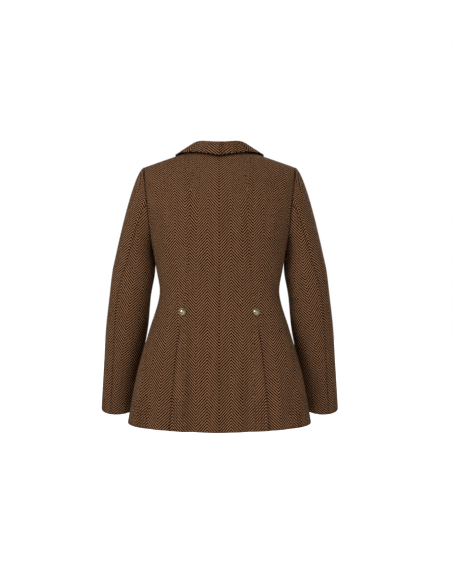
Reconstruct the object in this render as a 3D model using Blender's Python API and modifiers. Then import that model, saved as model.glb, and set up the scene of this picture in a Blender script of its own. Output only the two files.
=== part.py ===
"""Riding jacket: a fitted women's tweed coat in its worn form, with nobody inside it.

Metres, +Z up.  The wearer faces -Y and the wearer's left is +X.  The origin is the
middle of the neck at the height of the nape, where the wearer carries the coat.
Every cloth piece is a wall: a grid laid on the cut, given its thickness inwards.
"""

import math
from collections import namedtuple

import bmesh
import bpy
import numpy as np
from mathutils import Vector

COLLECTION = "riding_jacket"

# Cloth
WALL = 0.0024               # tweed with its canvas
SEAM = 0.0003               # gap left between two sewn pieces
LAID = 0.0006               # gap under cloth that lies on other cloth

# Heights along the body
HEM_BACK = -0.686
HEM_SIDE = -0.670
UNDERARM = -0.225
NECK_POINT = (0.080, 0.0095)        # x and z where the shoulder seam meets the collar
SHOULDER_TIP_X = 0.192
SHOULDER_SLOPE = math.radians(19.0)
SHOULDER_ROUND = 0.150              # height over which the shoulder rounds to its ridge

# Horizontal sections of the body: depth behind and in front of the shoulder line
Section = namedtuple("Section", "height half_width back front back_square")
BODY = (
    Section(-0.690, 0.2340, 0.125, 0.150, 3.6),
    Section(-0.545, 0.2070, 0.118, 0.133, 3.5),
    Section(-0.440, 0.1768, 0.106, 0.117, 3.2),
    Section(-0.350, 0.1517, 0.094, 0.105, 2.8),
    Section(-0.285, 0.1605, 0.102, 0.122, 2.6),
    Section(-0.225, 0.1715, 0.111, 0.135, 2.5),
    Section(-0.130, 0.1980, 0.115, 0.124, 2.4),
    Section(-0.030, 0.2100, 0.101, 0.104, 2.3),
    Section(0.050, 0.2140, 0.094, 0.092, 2.3),
)
FRONT_SQUARE = 2.5          # how square the sections are in front

# Back seams: half width of the middle panels at each height
SeamPoint = namedtuple("SeamPoint", "height half_width")
BACK_SEAM = (
    SeamPoint(-0.690, 0.1145),
    SeamPoint(-0.590, 0.1100),
    SeamPoint(-0.490, 0.1035),
    SeamPoint(-0.420, 0.0945),
    SeamPoint(-0.380, 0.0875),
    SeamPoint(-0.300, 0.0765),
    SeamPoint(-0.200, 0.0710),
    SeamPoint(-0.100, 0.0720),
    SeamPoint(NECK_POINT[1], NECK_POINT[0]),
)
WAIST_BUTTON_Z = -0.3945
VENT_LAP = 0.008            # how far the middle panel laps over at the hem
VENT_LIFT = 0.0048          # how far its free edge stands off at the hem
VENT_START = 0.056          # length below the button over which the edge lifts clear

# Armhole
ARMHOLE_CURVE = 1.2
FRONT_HOLLOW = 0.006        # the front armhole is scooped this much deeper

# Fronts, wearer's right over left
OVERLAP = 0.012             # each front passes the middle by this much
ROLL_START = -0.2574        # height where the lapel begins to turn
CUTAWAY_START = -0.470
CUTAWAY = 0.040             # the front edge swings back this far at the hem
UNDER_FADE = 0.050          # width over which the left front sinks below the right
UNDER_TOP = -0.170          # height above which it no longer does
FRONT_BUTTON_Z = (-0.282, -0.357, -0.432)

# Lapels and collar
FOLD_RADIUS = 0.0030        # middle of the cloth at the roll
GORGE_ROW = 5               # upper row where lapel and collar meet on the roll line
LAPEL_TIP = (0.142, -0.085)
LAPEL_BELLY = 0.006
LAPEL_RIGHT_START = (6.0e-3, 6.0e-3)    # lower end above the roll start: at the roll, at the edge
LAPEL_LEFT_START = (56.0e-3, 30.0e-3)
STAND_LEAN_BACK = 0.45      # sine of the stand's lean towards the neck
STAND_LEAN_SIDE = 0.62
STAND_LEVEL = 0.0268        # height of the stand's top at the middle of the back
STAND_RISE = 0.0066         # how far it rises from there to the side of the neck
STAND_CORNER = 0.0090       # how far it drops before the shoulder
STAND_CORNER_CURVE = 10
STAND_TOP_SIDE = STAND_LEVEL + STAND_RISE - STAND_CORNER
STAND_SIDE = (STAND_TOP_SIDE - NECK_POINT[1]) / math.sqrt(1 - STAND_LEAN_SIDE ** 2)
STAND_END = 0.0015
STAND_CURVE = 1.5           # how the stand runs out towards the gorge
FALL_SHOULDER_X = 0.110     # where the collar's edge crosses the shoulder
FALL_GAP = 0.0015           # gap under the collar's edge
FALL_BACK_Z = -0.009
FALL_RISE = 0.012           # the edge rises by this much before it crosses the shoulder
FALL_WAVE = 0.62            # share of a half wave that it rises on
FALL_SWELL = 0.5            # how round the fall hangs, in widths of the fold
FALL_FLAT = 0.9             # part of that roundness lost on the shoulder
LIE_DOWN = 0.5              # share of its width over which turned cloth settles on the body
COLLAR_TIP = (0.121, -0.049)
NOTCH_SHARE = 0.66          # part of the collar's end that is sewn to the lapel
GORGE_GAP = 0.0006          # gap along that seam
GORGE_CURVE = 3

# Sleeve rings, tilted forward like a relaxed arm
Ring = namedtuple("Ring", "height inner outer forward half_depth tilt turn")
SLEEVE = (
    Ring(-0.650, 0.2240, 0.3110, -0.092, 0.045, 16.0, 20.0),
    Ring(-0.530, 0.2025, 0.3000, -0.056, 0.049, 14.0, 26.0),
    Ring(-0.436, 0.1840, 0.2920, -0.034, 0.053, 9.0, 31.0),
    Ring(-0.355, 0.1755, 0.2815, -0.020, 0.056, 5.0, 32.0),
    Ring(-0.290, 0.1645, 0.2735, -0.018, 0.060, 2.0, 22.0),
    Ring(-0.252, 0.1674, 0.2650, -0.016, 0.062, 0.0, 12.0),
)
CAP_PUSH = 0.30             # how far the sleeve head leaves the armhole before it turns
CAP_SHARE = 1 / 3           # part of the sleeve's rows that make the sleeve head
CAP_CURVE = 1.4
HIND_SEAM = 5               # armhole points, counted from the underarm up the back
FRONT_SEAM = 16

# Grid sizes
LOW_ROWS = 14               # hem to underarm
HIGH_ROWS = 10              # underarm to shoulder
ROWS = LOW_ROWS + HIGH_ROWS
CENTRE_COLUMNS = 8
VENT_COLUMNS = 2            # columns over which the vent's edge rises
PANEL_COLUMNS = 10
SLEEVE_ROWS = 18
ARMHOLE_POINTS = 2 * HIGH_ROWS
LAPEL_COLUMNS = 10
LAPEL_ROWS = 12
FOLD_CELLS = 4
STAND_CELLS = 3
FALL_CELLS = 5
COLLAR_BACK = 0.5           # share of each half of the collar that lies behind the shoulder
COLLAR_ROWS = int(2 * CENTRE_COLUMNS / COLLAR_BACK)

# Buttons
BUTTON_RADIUS = 0.0096
BUTTON_HEIGHT = 0.0078
BUTTON_RIM = 0.0024
BUTTON_SHANK = 0.0036
BUTTON_BACK = 0.0089        # radius of the flat back
BUTTON_BACK_HEIGHT = 0.0014
WAIST_BUTTON_GAP = 0.0008   # above the seam, where the vent begins to lift
FRONT_BUTTON_GAP = 0.0004
BUTTON_STEPS = 20           # corners around
DOME_STEPS = 6              # corners from the middle of the dome to its rim

STEP = 1.0e-4               # small step for tangents
FINE = 1.0e-6               # smaller one for the body's normals
MERGE = 1.0e-5              # points of a turned shape closer than this become one
SHARP_ANGLE = math.radians(40)

TWEED_COLOUR = (0.098, 0.048, 0.025, 1.0)
TWEED_ROUGHNESS = 0.9
BRASS_COLOUR = (0.42, 0.33, 0.17, 1.0)
BRASS_ROUGHNESS = 0.38


def lerp(first, last, share):
    return first + (last - first) * share


def smooth(share):
    share = min(max(share, 0.0), 1.0)
    return share * share * (3 - 2 * share)


def unit(vector):
    return vector / np.linalg.norm(vector)


def signed_power(value, power):
    return math.copysign(abs(value) ** power, value)


def along(table, height):
    """One row of a table at any height, on a smooth curve through its rows."""
    last = len(table) - 1
    index = 0
    while index < last - 1 and table[index + 1].height < height:
        index += 1
    span = table[index + 1].height - table[index].height
    share = min(max((height - table[index].height) / span, 0.0), 1.0)

    def slope(row, column):
        after, before = table[min(row + 1, last)], table[max(row - 1, 0)]
        return (after[column] - before[column]) / (after.height - before.height) * span

    values = []
    for column, start in enumerate(table[index]):
        end = table[index + 1][column]
        leave, arrive = slope(index, column), slope(index + 1, column)
        rest = 1 - share
        values.append(start * rest * rest * (1 + 2 * share) + leave * share * rest * rest
                      + end * share * share * (3 - 2 * share) - arrive * share * share * rest)
    return type(table[0])(*values)


def ridge(x):
    """Height of the shoulder line, rounded across the neck."""
    neck_x, neck_z = NECK_POINT
    reach = abs(x) if abs(x) > neck_x else (x * x / neck_x + neck_x) / 2
    return neck_z - math.tan(SHOULDER_SLOPE) * (reach - neck_x)


def torso_depth(x, z, face):
    """Y of the body's surface; face is 1 behind the shoulder line and -1 in front."""
    section = along(BODY, z)
    depth, power = (section.back, section.back_square) if face > 0 else (section.front, FRONT_SQUARE)
    across = max(1 - abs(x / section.half_width) ** power, 0.0) ** (1 / power)
    rest = 1 - min(max((ridge(x) - z) / SHOULDER_ROUND, 0.0), 1.0)
    return face * depth * across * math.sqrt(1 - rest * rest)


def torso(x, z, face):
    return np.array((x, torso_depth(x, z, face), z))


def torso_normal(x, z, face):
    """Outward normal of the body, from a step along the shoulder line and one down."""
    before, after = x - FINE, x + FINE
    slope = ridge(after) - ridge(before)
    across = torso(after, z + slope / 2, face) - torso(before, z - slope / 2, face)
    upward = torso(x, z, face) - torso(x, z - FINE, face)
    return unit(np.cross(upward, across)) * face


def low_share(row):
    return min(row / LOW_ROWS, 1.0)


def high_share(row):
    return max((row - LOW_ROWS) / HIGH_ROWS, 0.0)


def hem_height(x):
    share = 1 - (x / BODY[0].half_width) ** 2
    return lerp(HEM_SIDE, HEM_BACK, share)


def rising(row, hem, top):
    """Height of a row on an edge that ends in the shoulder ridge."""
    height = lerp(hem, UNDERARM, low_share(row))
    return height + (top - UNDERARM) * math.sin(math.pi / 2 * high_share(row))


def centre_back_edge(row):
    return 0.0, lerp(HEM_BACK, UNDERARM, low_share(row)) - UNDERARM * high_share(row)


def back_seam_edge(row):
    z = rising(row, hem_height(BACK_SEAM[0].half_width), NECK_POINT[1])
    return along(BACK_SEAM, z).half_width, z


def armhole_edge(row, face):
    share = high_share(row)
    if share == 0:
        z = lerp(HEM_SIDE, UNDERARM, low_share(row))
        return along(BODY, z).half_width, z
    z = lerp(UNDERARM, ridge(SHOULDER_TIP_X), (1 - math.cos(math.pi * share)) / 2)
    climb = (z - UNDERARM) / (ridge(SHOULDER_TIP_X) - UNDERARM)
    x = lerp(along(BODY, UNDERARM).half_width, SHOULDER_TIP_X, climb ** ARMHOLE_CURVE)
    if face < 0:
        x -= FRONT_HOLLOW * math.sin(math.pi * climb)
    return x, z


def roll_line(z):
    """X of the front edge: straight, then along the lapel's roll; swung back at the hem."""
    if z > ROLL_START:
        return lerp(-OVERLAP, NECK_POINT[0], (z - ROLL_START) / (NECK_POINT[1] - ROLL_START))
    swing = max(CUTAWAY_START - z, 0.0) / (CUTAWAY_START - HEM_SIDE)
    return -OVERLAP + CUTAWAY * swing ** 2


def front_edge(row):
    z = rising(row, HEM_SIDE, NECK_POINT[1])
    return roll_line(z), z


def turn_of(x, z, face):
    """Angle round the body section at which x lies, from the middle to the side."""
    section = along(BODY, z)
    power = section.back_square if face > 0 else FRONT_SQUARE
    share = min(max(x / section.half_width, -1.0), 1.0)
    return math.asin(signed_power(share, power / 2))


def panel_plan(inner, outer, face, u, row, bow=1.0):
    """X and z of a panel's point between its two edges."""
    z = lerp(inner[1], outer[1], u ** bow)
    turn = lerp(turn_of(*inner, face), turn_of(*outer, face), u)
    section = along(BODY, z)
    power = section.back_square if face > 0 else FRONT_SQUARE
    rounded = section.half_width * signed_power(math.sin(turn), 2 / power)
    return lerp(rounded, lerp(inner[0], outer[0], u), smooth(high_share(row))), z


def vent_shares(z):
    """How far the vent's edge has lifted, and how far it has lapped over, at a height."""
    below = WAIST_BUTTON_Z - z
    lap = max(below - VENT_START, 0.0) / (WAIST_BUTTON_Z - VENT_START - HEM_BACK)
    return smooth(below / VENT_START), lap


def on_body(x, z, face, lift=0.0):
    """Point and normal of cloth that lies on the body's form, raised by lift."""
    normal = torso_normal(x, z, face)
    return torso(x, z, face) + normal * lift, normal


def middle_back(u, v):
    row = v * ROWS
    seam_x, seam_z = back_seam_edge(row)
    lifted, lap = vent_shares(seam_z)
    outer = (seam_x + VENT_LAP * lap, seam_z)
    x, z = panel_plan(centre_back_edge(row), outer, 1, u, row, 1 + high_share(row))
    edge = max(1 - (1 - u) * CENTRE_COLUMNS / VENT_COLUMNS, 0.0)
    return on_body(x, z, 1, lifted * lerp(WALL + LAID, VENT_LIFT, lap) * edge)


def side_back(u, v):
    row = v * ROWS
    x, z = panel_plan(back_seam_edge(row), armhole_edge(row, 1), 1, u, row)
    return on_body(x, z, 1)


def front(u, v, sunk):
    """A front panel; sunk is 1 for the left front, which passes under the right one."""
    row = v * ROWS
    x, z = panel_plan(front_edge(row), armhole_edge(row, -1), -1, u, row)
    under = smooth((OVERLAP + UNDER_FADE - x) / UNDER_FADE) * smooth((UNDER_TOP - z) / UNDER_FADE)
    return on_body(x, z, -1, -sunk * under * (WALL + LAID))


def left_front(u, v):
    return front(u, v, 1.0)


def right_front(u, v):
    return front(u, v, 0.0)


def armhole_point(k):
    """The armhole, from the underarm up the back, over the shoulder and down the front."""
    face = 1 if k <= HIGH_ROWS else -1
    climb = k if face > 0 else ARMHOLE_POINTS - k
    x, z = armhole_edge(LOW_ROWS + climb, face)
    return torso(x, z, face)


def arm_ring(k, height):
    ring = along(SLEEVE, height)
    angle = math.pi * (1 - k / HIGH_ROWS)
    if angle > 0:
        angle -= math.radians(ring.turn) * math.sin(angle)
    middle = (ring.inner + ring.outer) / 2
    depth = ring.half_depth * math.sin(angle)
    return np.array((middle + (ring.outer - ring.inner) / 2 * math.cos(angle), ring.forward + depth,
                     height - depth * math.tan(math.radians(ring.tilt))))


def sleeve(k, v):
    top, cuff = SLEEVE[-1].height, SLEEVE[0].height
    if v > CAP_SHARE:
        return arm_ring(k, lerp(top, cuff, (v - CAP_SHARE) / (1 - CAP_SHARE)))
    start, end = armhole_point(k), arm_ring(k, top)
    reach = np.linalg.norm(end - start)
    climb = (start[2] - UNDERARM) / (ridge(SHOULDER_TIP_X) - UNDERARM)
    leave = unit(np.array((1.0, 0.0, -math.tan(SHOULDER_SLOPE) * climb))) * reach * CAP_PUSH
    arrive = unit(arm_ring(k, top - STEP) - end) * reach
    s = (v / CAP_SHARE) ** CAP_CURVE
    rest = 1 - s
    return (start * rest * rest * (1 + 2 * s) + leave * s * rest * rest
            + end * s * s * (3 - 2 * s) - arrive * s * s * rest)


def measured(surface):
    """The same surface with its normal, from short steps along it."""
    def point_and_normal(u, v):
        wide, long = tangents(surface, u, v)
        return surface(u, v), unit(np.cross(wide, long))
    return point_and_normal


def tangents(surface, u, v):
    wide = unit(surface(min(u + STEP, 1.0), v) - surface(max(u - STEP, 0.0), v))
    long = unit(surface(u, min(v + STEP, 1.0)) - surface(u, max(v - STEP, 0.0)))
    return wide, long


def upper_sleeve(u, v):
    return sleeve(lerp(HIND_SEAM, FRONT_SEAM, u), v)


def under_sleeve(u, v):
    k = lerp(FRONT_SEAM - ARMHOLE_POINTS, HIND_SEAM, u)
    return sleeve(k % ARMHOLE_POINTS, v)


def roll_frame(row, panel):
    """Edge point of a front at a row, its normal, and the way across the edge."""
    v = row / ROWS
    point, normal = panel(0.0, v)
    upward = unit(panel(0.0, min(v + STEP, 1.0))[0] - panel(0.0, v - STEP)[0])
    return point, normal, unit(np.cross(normal, upward))


def fold(start, inward, normal, share):
    """Half turn of the cloth, from lying under its edge to lying over it."""
    angle = math.pi * share
    return start + normal * FOLD_RADIUS * (1 - math.cos(angle)) + inward * FOLD_RADIUS * math.sin(angle)


def row_at(z):
    """Row of the front edge that lies at a height."""
    if z <= UNDERARM:
        return LOW_ROWS * (z - HEM_SIDE) / (UNDERARM - HEM_SIDE)
    return LOW_ROWS + HIGH_ROWS * 2 / math.pi * math.asin((z - UNDERARM) / (NECK_POINT[1] - UNDERARM))


def lapel_edge(share):
    """X and z of the lapel's free edge, from the roll start to its tip."""
    start = np.array((-OVERLAP, ROLL_START))
    way = np.array(LAPEL_TIP) - start
    outward = unit(np.array((way[1], -way[0])))
    return start + way * share + outward * LAPEL_BELLY * math.sin(math.pi * share)


def lapel(u, v, panel, lower):
    """Turned-back front edge; the middle of its cloth."""
    gorge_z = front_edge(LOW_ROWS + GORGE_ROW)[1]
    z = lerp(ROLL_START + lower[0], gorge_z, v)
    edge_share = lerp(lower[1] / (LAPEL_TIP[1] - ROLL_START), 1.0, v)
    point, normal, inward = roll_frame(row_at(z), panel)
    start = point - normal * WALL / 2
    turned = FOLD_CELLS / LAPEL_COLUMNS
    if u <= turned:
        return fold(start, inward, normal, u / turned)
    share = (u - turned) / (1 - turned)
    edge_x, edge_z = lapel_edge(edge_share)
    x, z = lerp(point[0], edge_x, share), lerp(point[2], edge_z, share)
    height = lerp(2 * FOLD_RADIUS - WALL / 2, LAID + WALL / 2, 1 - (1 - share) ** 2)
    lying, _ = on_body(x, z, -1, height)
    turned_over = fold(start, inward, normal, 1.0) + torso(x, z, -1) - point
    return lerp(turned_over, lying, smooth(share / LIE_DOWN))


def left_lapel(u, v):
    return lapel(u, v, left_front, LAPEL_LEFT_START)


def right_lapel(u, v):
    return lapel(u, v, right_front, LAPEL_RIGHT_START)


def collar_base(c):
    """Neck edge at c, the stand's direction and height there, and how far round c is.

    c runs from 0 at the middle of the back to 1 at the gorge.
    """
    if c <= COLLAR_BACK:
        u = c / COLLAR_BACK
        point = middle_back(u, 1.0)[0]
        around = math.pi / 2 * u
        lean = lerp(STAND_LEAN_BACK, STAND_LEAN_SIDE, u)
        up = np.array((-math.sin(around) * lean, -math.cos(around) * lean, math.sqrt(1 - lean * lean)))
        stand_top = STAND_LEVEL + STAND_RISE * u * u - STAND_CORNER * u ** STAND_CORNER_CURVE
        return point, up, (stand_top - point[2]) / up[2], u, 0.0
    w = (c - COLLAR_BACK) / (1 - COLLAR_BACK)
    row = lerp(ROWS, LOW_ROWS + GORGE_ROW, w)
    point, _, inward = roll_frame(row, right_front)
    side_up = np.array((-STAND_LEAN_SIDE, 0.0, math.sqrt(1 - STAND_LEAN_SIDE ** 2)))
    up = unit(lerp(side_up, inward, smooth(w)))
    return point, up, lerp(STAND_END, STAND_SIDE, (1 - w) ** STAND_CURVE), 1.0, w


def fall_edge(u, w):
    """X, z and side of the collar's free edge on the body."""
    if w > 0:
        x = lerp(FALL_SHOULDER_X, COLLAR_TIP[0], w)
        z = lerp(ridge(FALL_SHOULDER_X), COLLAR_TIP[1], w)
        return x, min(z, ridge(x) - STEP), -1
    x = FALL_SHOULDER_X * u
    z = FALL_BACK_Z + FALL_RISE * math.sin(FALL_WAVE * math.pi * u)
    return x, min(z, ridge(x) - STEP), 1


def gorge_line(x, start):
    """Height of the collar's end above the lapel's upper edge."""
    slope = (LAPEL_TIP[1] - start[2]) / (LAPEL_TIP[0] - start[0])
    sewn_x = lerp(start[0], COLLAR_TIP[0], NOTCH_SHARE)
    sewn_z = start[2] + slope * (min(x, sewn_x) - start[0]) + GORGE_GAP
    if x <= sewn_x:
        return sewn_z
    return lerp(sewn_z, COLLAR_TIP[1], (x - sewn_x) / (COLLAR_TIP[0] - sewn_x))


def collar_half(u, c):
    """Collar from its neck seam up the stand, over the fold and down the fall."""
    point, up, stand, back_u, w = collar_base(c)
    ahead, behind = collar_base(min(c + STEP, 1.0))[0], collar_base(max(c - STEP, 0.0))[0]
    outward = unit(np.cross(up, unit(ahead - behind)))
    start = point - outward * WALL / 2 + up * LAID
    cells = STAND_CELLS + FOLD_CELLS + FALL_CELLS
    stand_end, fold_end = STAND_CELLS / cells, (STAND_CELLS + FOLD_CELLS) / cells
    if u <= stand_end:
        return start + up * stand * u / stand_end
    top = start + up * stand
    if u <= fold_end:
        return fold(top, up, outward, (u - stand_end) / (fold_end - stand_end))
    share = (u - fold_end) / (1 - fold_end)
    turned = fold(top, up, outward, 1.0)
    x, z, face = fall_edge(back_u, w)
    rest = on_body(x, z, face, FALL_GAP + WALL / 2)[0]
    swell = FALL_SWELL * (1 - FALL_FLAT * smooth(back_u - w)) * math.sin(math.pi * share)
    hanging = lerp(turned, rest, share) + (turned - top) * swell
    if w == 0:
        return hanging
    flat_x, flat_z = lerp(point[0], x, share), lerp(point[2], z, share)
    flat_z = lerp(flat_z, gorge_line(flat_x, point), w ** GORGE_CURVE)
    flat_z = min(flat_z, ridge(flat_x) - STEP)
    height = lerp(2 * FOLD_RADIUS - WALL / 2, FALL_GAP + WALL / 2, 1 - (1 - share) ** 2)
    lying = on_body(flat_x, flat_z, -1, height)[0]
    return lerp(hanging, lying, smooth(w) * smooth(share / LIE_DOWN))


def collar(u, v):
    side = 1.0 if v >= 0.5 else -1.0
    point = collar_half(u, abs(2 * v - 1))
    point[0] *= side
    return point


def finish(name, colour, roughness, metallic):
    material = bpy.data.materials.new(name)
    material.use_nodes = True
    shader = material.node_tree.nodes["Principled BSDF"]
    shader.inputs["Base Color"].default_value = colour
    shader.inputs["Roughness"].default_value = roughness
    shader.inputs["Metallic"].default_value = metallic
    return material


def wall_point(surface, u, v, depth):
    """A point of the wall: surface(u, v), trimmed for the seam, moved in by depth walls."""
    point, normal = surface(u, v)
    wide, long = tangents(lambda *place: surface(*place)[0], u, v)
    trim = {0.0: SEAM / 2, 1.0: -SEAM / 2}
    return point - normal * WALL * depth + wide * trim.get(u, 0.0) + long * trim.get(v, 0.0)


def cloth(name, surface, columns, rows, side, material, middle=0.0):
    """A cloth wall on a grid; middle is 0.5 where the surface is the middle of the cloth."""
    mesh = bpy.data.meshes.new(name)
    grid = bmesh.new()
    bmesh.ops.create_grid(grid, x_segments=columns, y_segments=rows, size=0.5)
    inner = bmesh.ops.extrude_face_region(grid, geom=grid.faces[:])["geom"]
    inner = [element for element in inner if isinstance(element, bmesh.types.BMVert)]
    bmesh.ops.translate(grid, verts=inner, vec=(0, 0, 1))
    for vertex in grid.verts:
        u = round((vertex.co.x + 0.5) * columns) / columns
        v = round((vertex.co.y + 0.5) * rows) / rows
        x, y, z = wall_point(surface, u, v, vertex.co.z - middle)
        vertex.co = (x * side, y, z)
    bmesh.ops.recalc_face_normals(grid, faces=grid.faces)
    if grid.calc_volume(signed=True) < 0:
        bmesh.ops.reverse_faces(grid, faces=grid.faces)
    grid.to_mesh(mesh)
    grid.free()
    mesh.shade_smooth()
    mesh.set_sharp_from_angle(angle=SHARP_ANGLE)
    return add(name, mesh, material)


def button(name, x, z, face, gap, material):
    """A domed button on a short shank, turned about its own axis."""
    profile = []
    for index in range(DOME_STEPS + 1):
        angle = math.pi / 2 * index / DOME_STEPS
        height = BUTTON_RIM + (BUTTON_HEIGHT - BUTTON_RIM) * math.cos(angle)
        profile.append((BUTTON_RADIUS * math.sin(angle), height))
    profile += [(BUTTON_BACK, BUTTON_BACK_HEIGHT), (BUTTON_SHANK, BUTTON_BACK_HEIGHT),
                (BUTTON_SHANK, 0.0), (0.0, 0.0)]
    mesh = bpy.data.meshes.new(name)
    outline = bmesh.new()
    corners = [outline.verts.new((radius, 0, height)) for radius, height in profile]
    for first, second in zip(corners, corners[1:]):
        outline.edges.new((first, second))
    outline.to_mesh(mesh)
    outline.free()
    piece = add(name, mesh, material)
    turning = piece.modifiers.new("turned", "SCREW")
    turning.axis = "Z"
    turning.steps = turning.render_steps = BUTTON_STEPS
    turning.use_merge_vertices = True
    turning.merge_threshold = MERGE
    normal = torso_normal(x, z, face)
    piece.location = torso(x, z, face) + normal * gap
    piece.rotation_euler = Vector(normal).to_track_quat("Z", "Y").to_euler()
    return piece


def add(name, mesh, material):
    mesh.materials.append(material)
    piece = bpy.data.objects.new(name, mesh)
    bpy.data.collections[COLLECTION].objects.link(piece)
    return piece


def clear_scene():
    for item in list(bpy.data.objects):
        bpy.data.objects.remove(item, do_unlink=True)
    bpy.context.scene.collection.children.link(bpy.data.collections.new(COLLECTION))


def main():
    clear_scene()
    tweed = finish("brown_tweed", TWEED_COLOUR, TWEED_ROUGHNESS, 0.0)
    brass = finish("aged_brass", BRASS_COLOUR, BRASS_ROUGHNESS, 1.0)

    for name, side in (("left", 1), ("right", -1)):
        cloth(f"back_middle_{name}", middle_back, CENTRE_COLUMNS, ROWS, side, tweed)
        cloth(f"back_side_{name}", side_back, PANEL_COLUMNS, ROWS, side, tweed)
        upper_columns = FRONT_SEAM - HIND_SEAM
        cloth(f"sleeve_upper_{name}", measured(upper_sleeve), upper_columns, SLEEVE_ROWS, side, tweed)
        under_columns = ARMHOLE_POINTS - upper_columns
        cloth(f"sleeve_under_{name}", measured(under_sleeve), under_columns, SLEEVE_ROWS, side, tweed)
        seam_x = along(BACK_SEAM, WAIST_BUTTON_Z).half_width
        button(f"button_back_{name}", side * seam_x, WAIST_BUTTON_Z, 1, WAIST_BUTTON_GAP, brass)

    cloth("front_left", left_front, PANEL_COLUMNS, ROWS, 1, tweed)
    cloth("front_right", right_front, PANEL_COLUMNS, ROWS, -1, tweed)
    cloth("lapel_left", measured(left_lapel), LAPEL_COLUMNS, LAPEL_ROWS, 1, tweed, 0.5)
    cloth("lapel_right", measured(right_lapel), LAPEL_COLUMNS, LAPEL_ROWS, -1, tweed, 0.5)
    collar_columns = STAND_CELLS + FOLD_CELLS + FALL_CELLS
    cloth("collar", measured(collar), collar_columns, COLLAR_ROWS, 1, tweed, 0.5)
    for number, height in enumerate(FRONT_BUTTON_Z, 1):
        button(f"button_front_{number}", 0.0, height, -1, FRONT_BUTTON_GAP, brass)


main()
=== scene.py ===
"""Looks of a riding jacket: herringbone tweed on every panel, pressed seams, soft creases,
domed brass buttons, and a plain pale studio.

Metres, in the frame of the solids: +Z up, the wearer faces -Y and the wearer's left is +X.
Each panel is a fine grid on the same cut as its solid.
"""

import math
from collections import namedtuple
from functools import partial

import bmesh
import bpy
import numpy as np
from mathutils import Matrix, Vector


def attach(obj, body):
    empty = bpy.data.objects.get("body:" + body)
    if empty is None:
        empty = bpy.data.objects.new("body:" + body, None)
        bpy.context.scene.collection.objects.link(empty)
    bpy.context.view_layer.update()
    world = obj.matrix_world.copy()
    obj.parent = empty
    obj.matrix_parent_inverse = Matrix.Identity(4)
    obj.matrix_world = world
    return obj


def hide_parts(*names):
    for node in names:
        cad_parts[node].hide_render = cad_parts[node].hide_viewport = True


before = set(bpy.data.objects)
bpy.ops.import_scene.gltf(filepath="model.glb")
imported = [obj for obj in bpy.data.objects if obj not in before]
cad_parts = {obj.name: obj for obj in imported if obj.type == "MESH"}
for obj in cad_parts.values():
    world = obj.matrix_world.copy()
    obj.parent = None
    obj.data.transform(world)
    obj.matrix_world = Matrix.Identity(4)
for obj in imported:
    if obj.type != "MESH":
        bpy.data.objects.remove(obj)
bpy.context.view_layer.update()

# Cloth
WALL = 0.0024
LAID = 0.0006

# Heights along the body
HEM_BACK = -0.686
HEM_SIDE = -0.670
UNDERARM = -0.225
NECK_POINT = (0.080, 0.0095)        # x and z of where the shoulder line meets the neck
SHOULDER_TIP_X = 0.192
SHOULDER_SLOPE = math.radians(19.0)
SHOULDER_ROUND = 0.150      # how far below the shoulder line the body rounds over

# Horizontal sections of the body
Section = namedtuple("Section", "height half_width back front back_square")
BODY = (
    Section(-0.690, 0.2340, 0.125, 0.150, 3.6),
    Section(-0.545, 0.2070, 0.118, 0.133, 3.5),
    Section(-0.440, 0.1768, 0.106, 0.117, 3.2),
    Section(-0.350, 0.1517, 0.094, 0.105, 2.8),
    Section(-0.285, 0.1605, 0.102, 0.122, 2.6),
    Section(-0.225, 0.1715, 0.111, 0.135, 2.5),
    Section(-0.130, 0.1980, 0.115, 0.124, 2.4),
    Section(-0.030, 0.2100, 0.101, 0.104, 2.3),
    Section(0.050, 0.2140, 0.094, 0.092, 2.3),
)
FRONT_SQUARE = 2.5          # how square the sections are in front

# Back seams and vents
SeamPoint = namedtuple("SeamPoint", "height half_width")
BACK_SEAM = (
    SeamPoint(-0.690, 0.1145),
    SeamPoint(-0.590, 0.1100),
    SeamPoint(-0.490, 0.1035),
    SeamPoint(-0.420, 0.0945),
    SeamPoint(-0.380, 0.0875),
    SeamPoint(-0.300, 0.0765),
    SeamPoint(-0.200, 0.0710),
    SeamPoint(-0.100, 0.0720),
    SeamPoint(NECK_POINT[1], NECK_POINT[0]),
)
WAIST_BUTTON_Z = -0.3945
VENT_LAP = 0.008            # how far the vent laps over at the hem
VENT_LIFT = 0.0048          # how high its edge lies there
VENT_START = 0.056          # length below the button in which its edge lifts, before it laps
VENT_RISE = 0.25            # share of the panel's width over which its vent edge rises

# Armhole and fronts
ARMHOLE_CURVE = 1.2
FRONT_HOLLOW = 0.006        # how much deeper the armhole is cut in front
OVERLAP = 0.012             # how far a front passes the middle
ROLL_START = -0.2574        # height where the lapel's roll begins
CUTAWAY_START = -0.470
CUTAWAY = 0.040             # how far the front edge has swung back at the hem
UNDER_FADE = 0.050          # length in which the left front sinks under the right one
UNDER_TOP = -0.170
FRONT_BUTTON_Z = (-0.282, -0.357, -0.432)

# Lapels and collar
FOLD_RADIUS = 0.0030
GORGE_ROW = 5               # row above the underarm at which the lapel meets the collar
LAPEL_TIP = (0.142, -0.085)         # x and z
LAPEL_BELLY = 0.006         # how far the lapel's free edge bows out
LAPEL_TURN = 0.4            # share of the lapel's grid that makes its fold
LAPEL_RIGHT_START = (0.006, 0.006)      # how far above the roll's start its fold and its edge begin
LAPEL_LEFT_START = (0.056, 0.030)
STAND_LEAN_BACK = 0.45      # how far the stand leans in, as a sine
STAND_LEAN_SIDE = 0.62
STAND_LEVEL = 0.0268        # height of the stand's top behind
STAND_RISE = 0.0066         # how much it rises to the side
STAND_CORNER = 0.0090       # and drops close to the neck point
STAND_CORNER_CURVE = 10
STAND_TOP_SIDE = STAND_LEVEL + STAND_RISE - STAND_CORNER
STAND_SIDE = (STAND_TOP_SIDE - NECK_POINT[1]) / math.sqrt(1 - STAND_LEAN_SIDE ** 2)
STAND_END = 0.0015          # how high the stand is at the gorge
STAND_CURVE = 1.5
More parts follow.
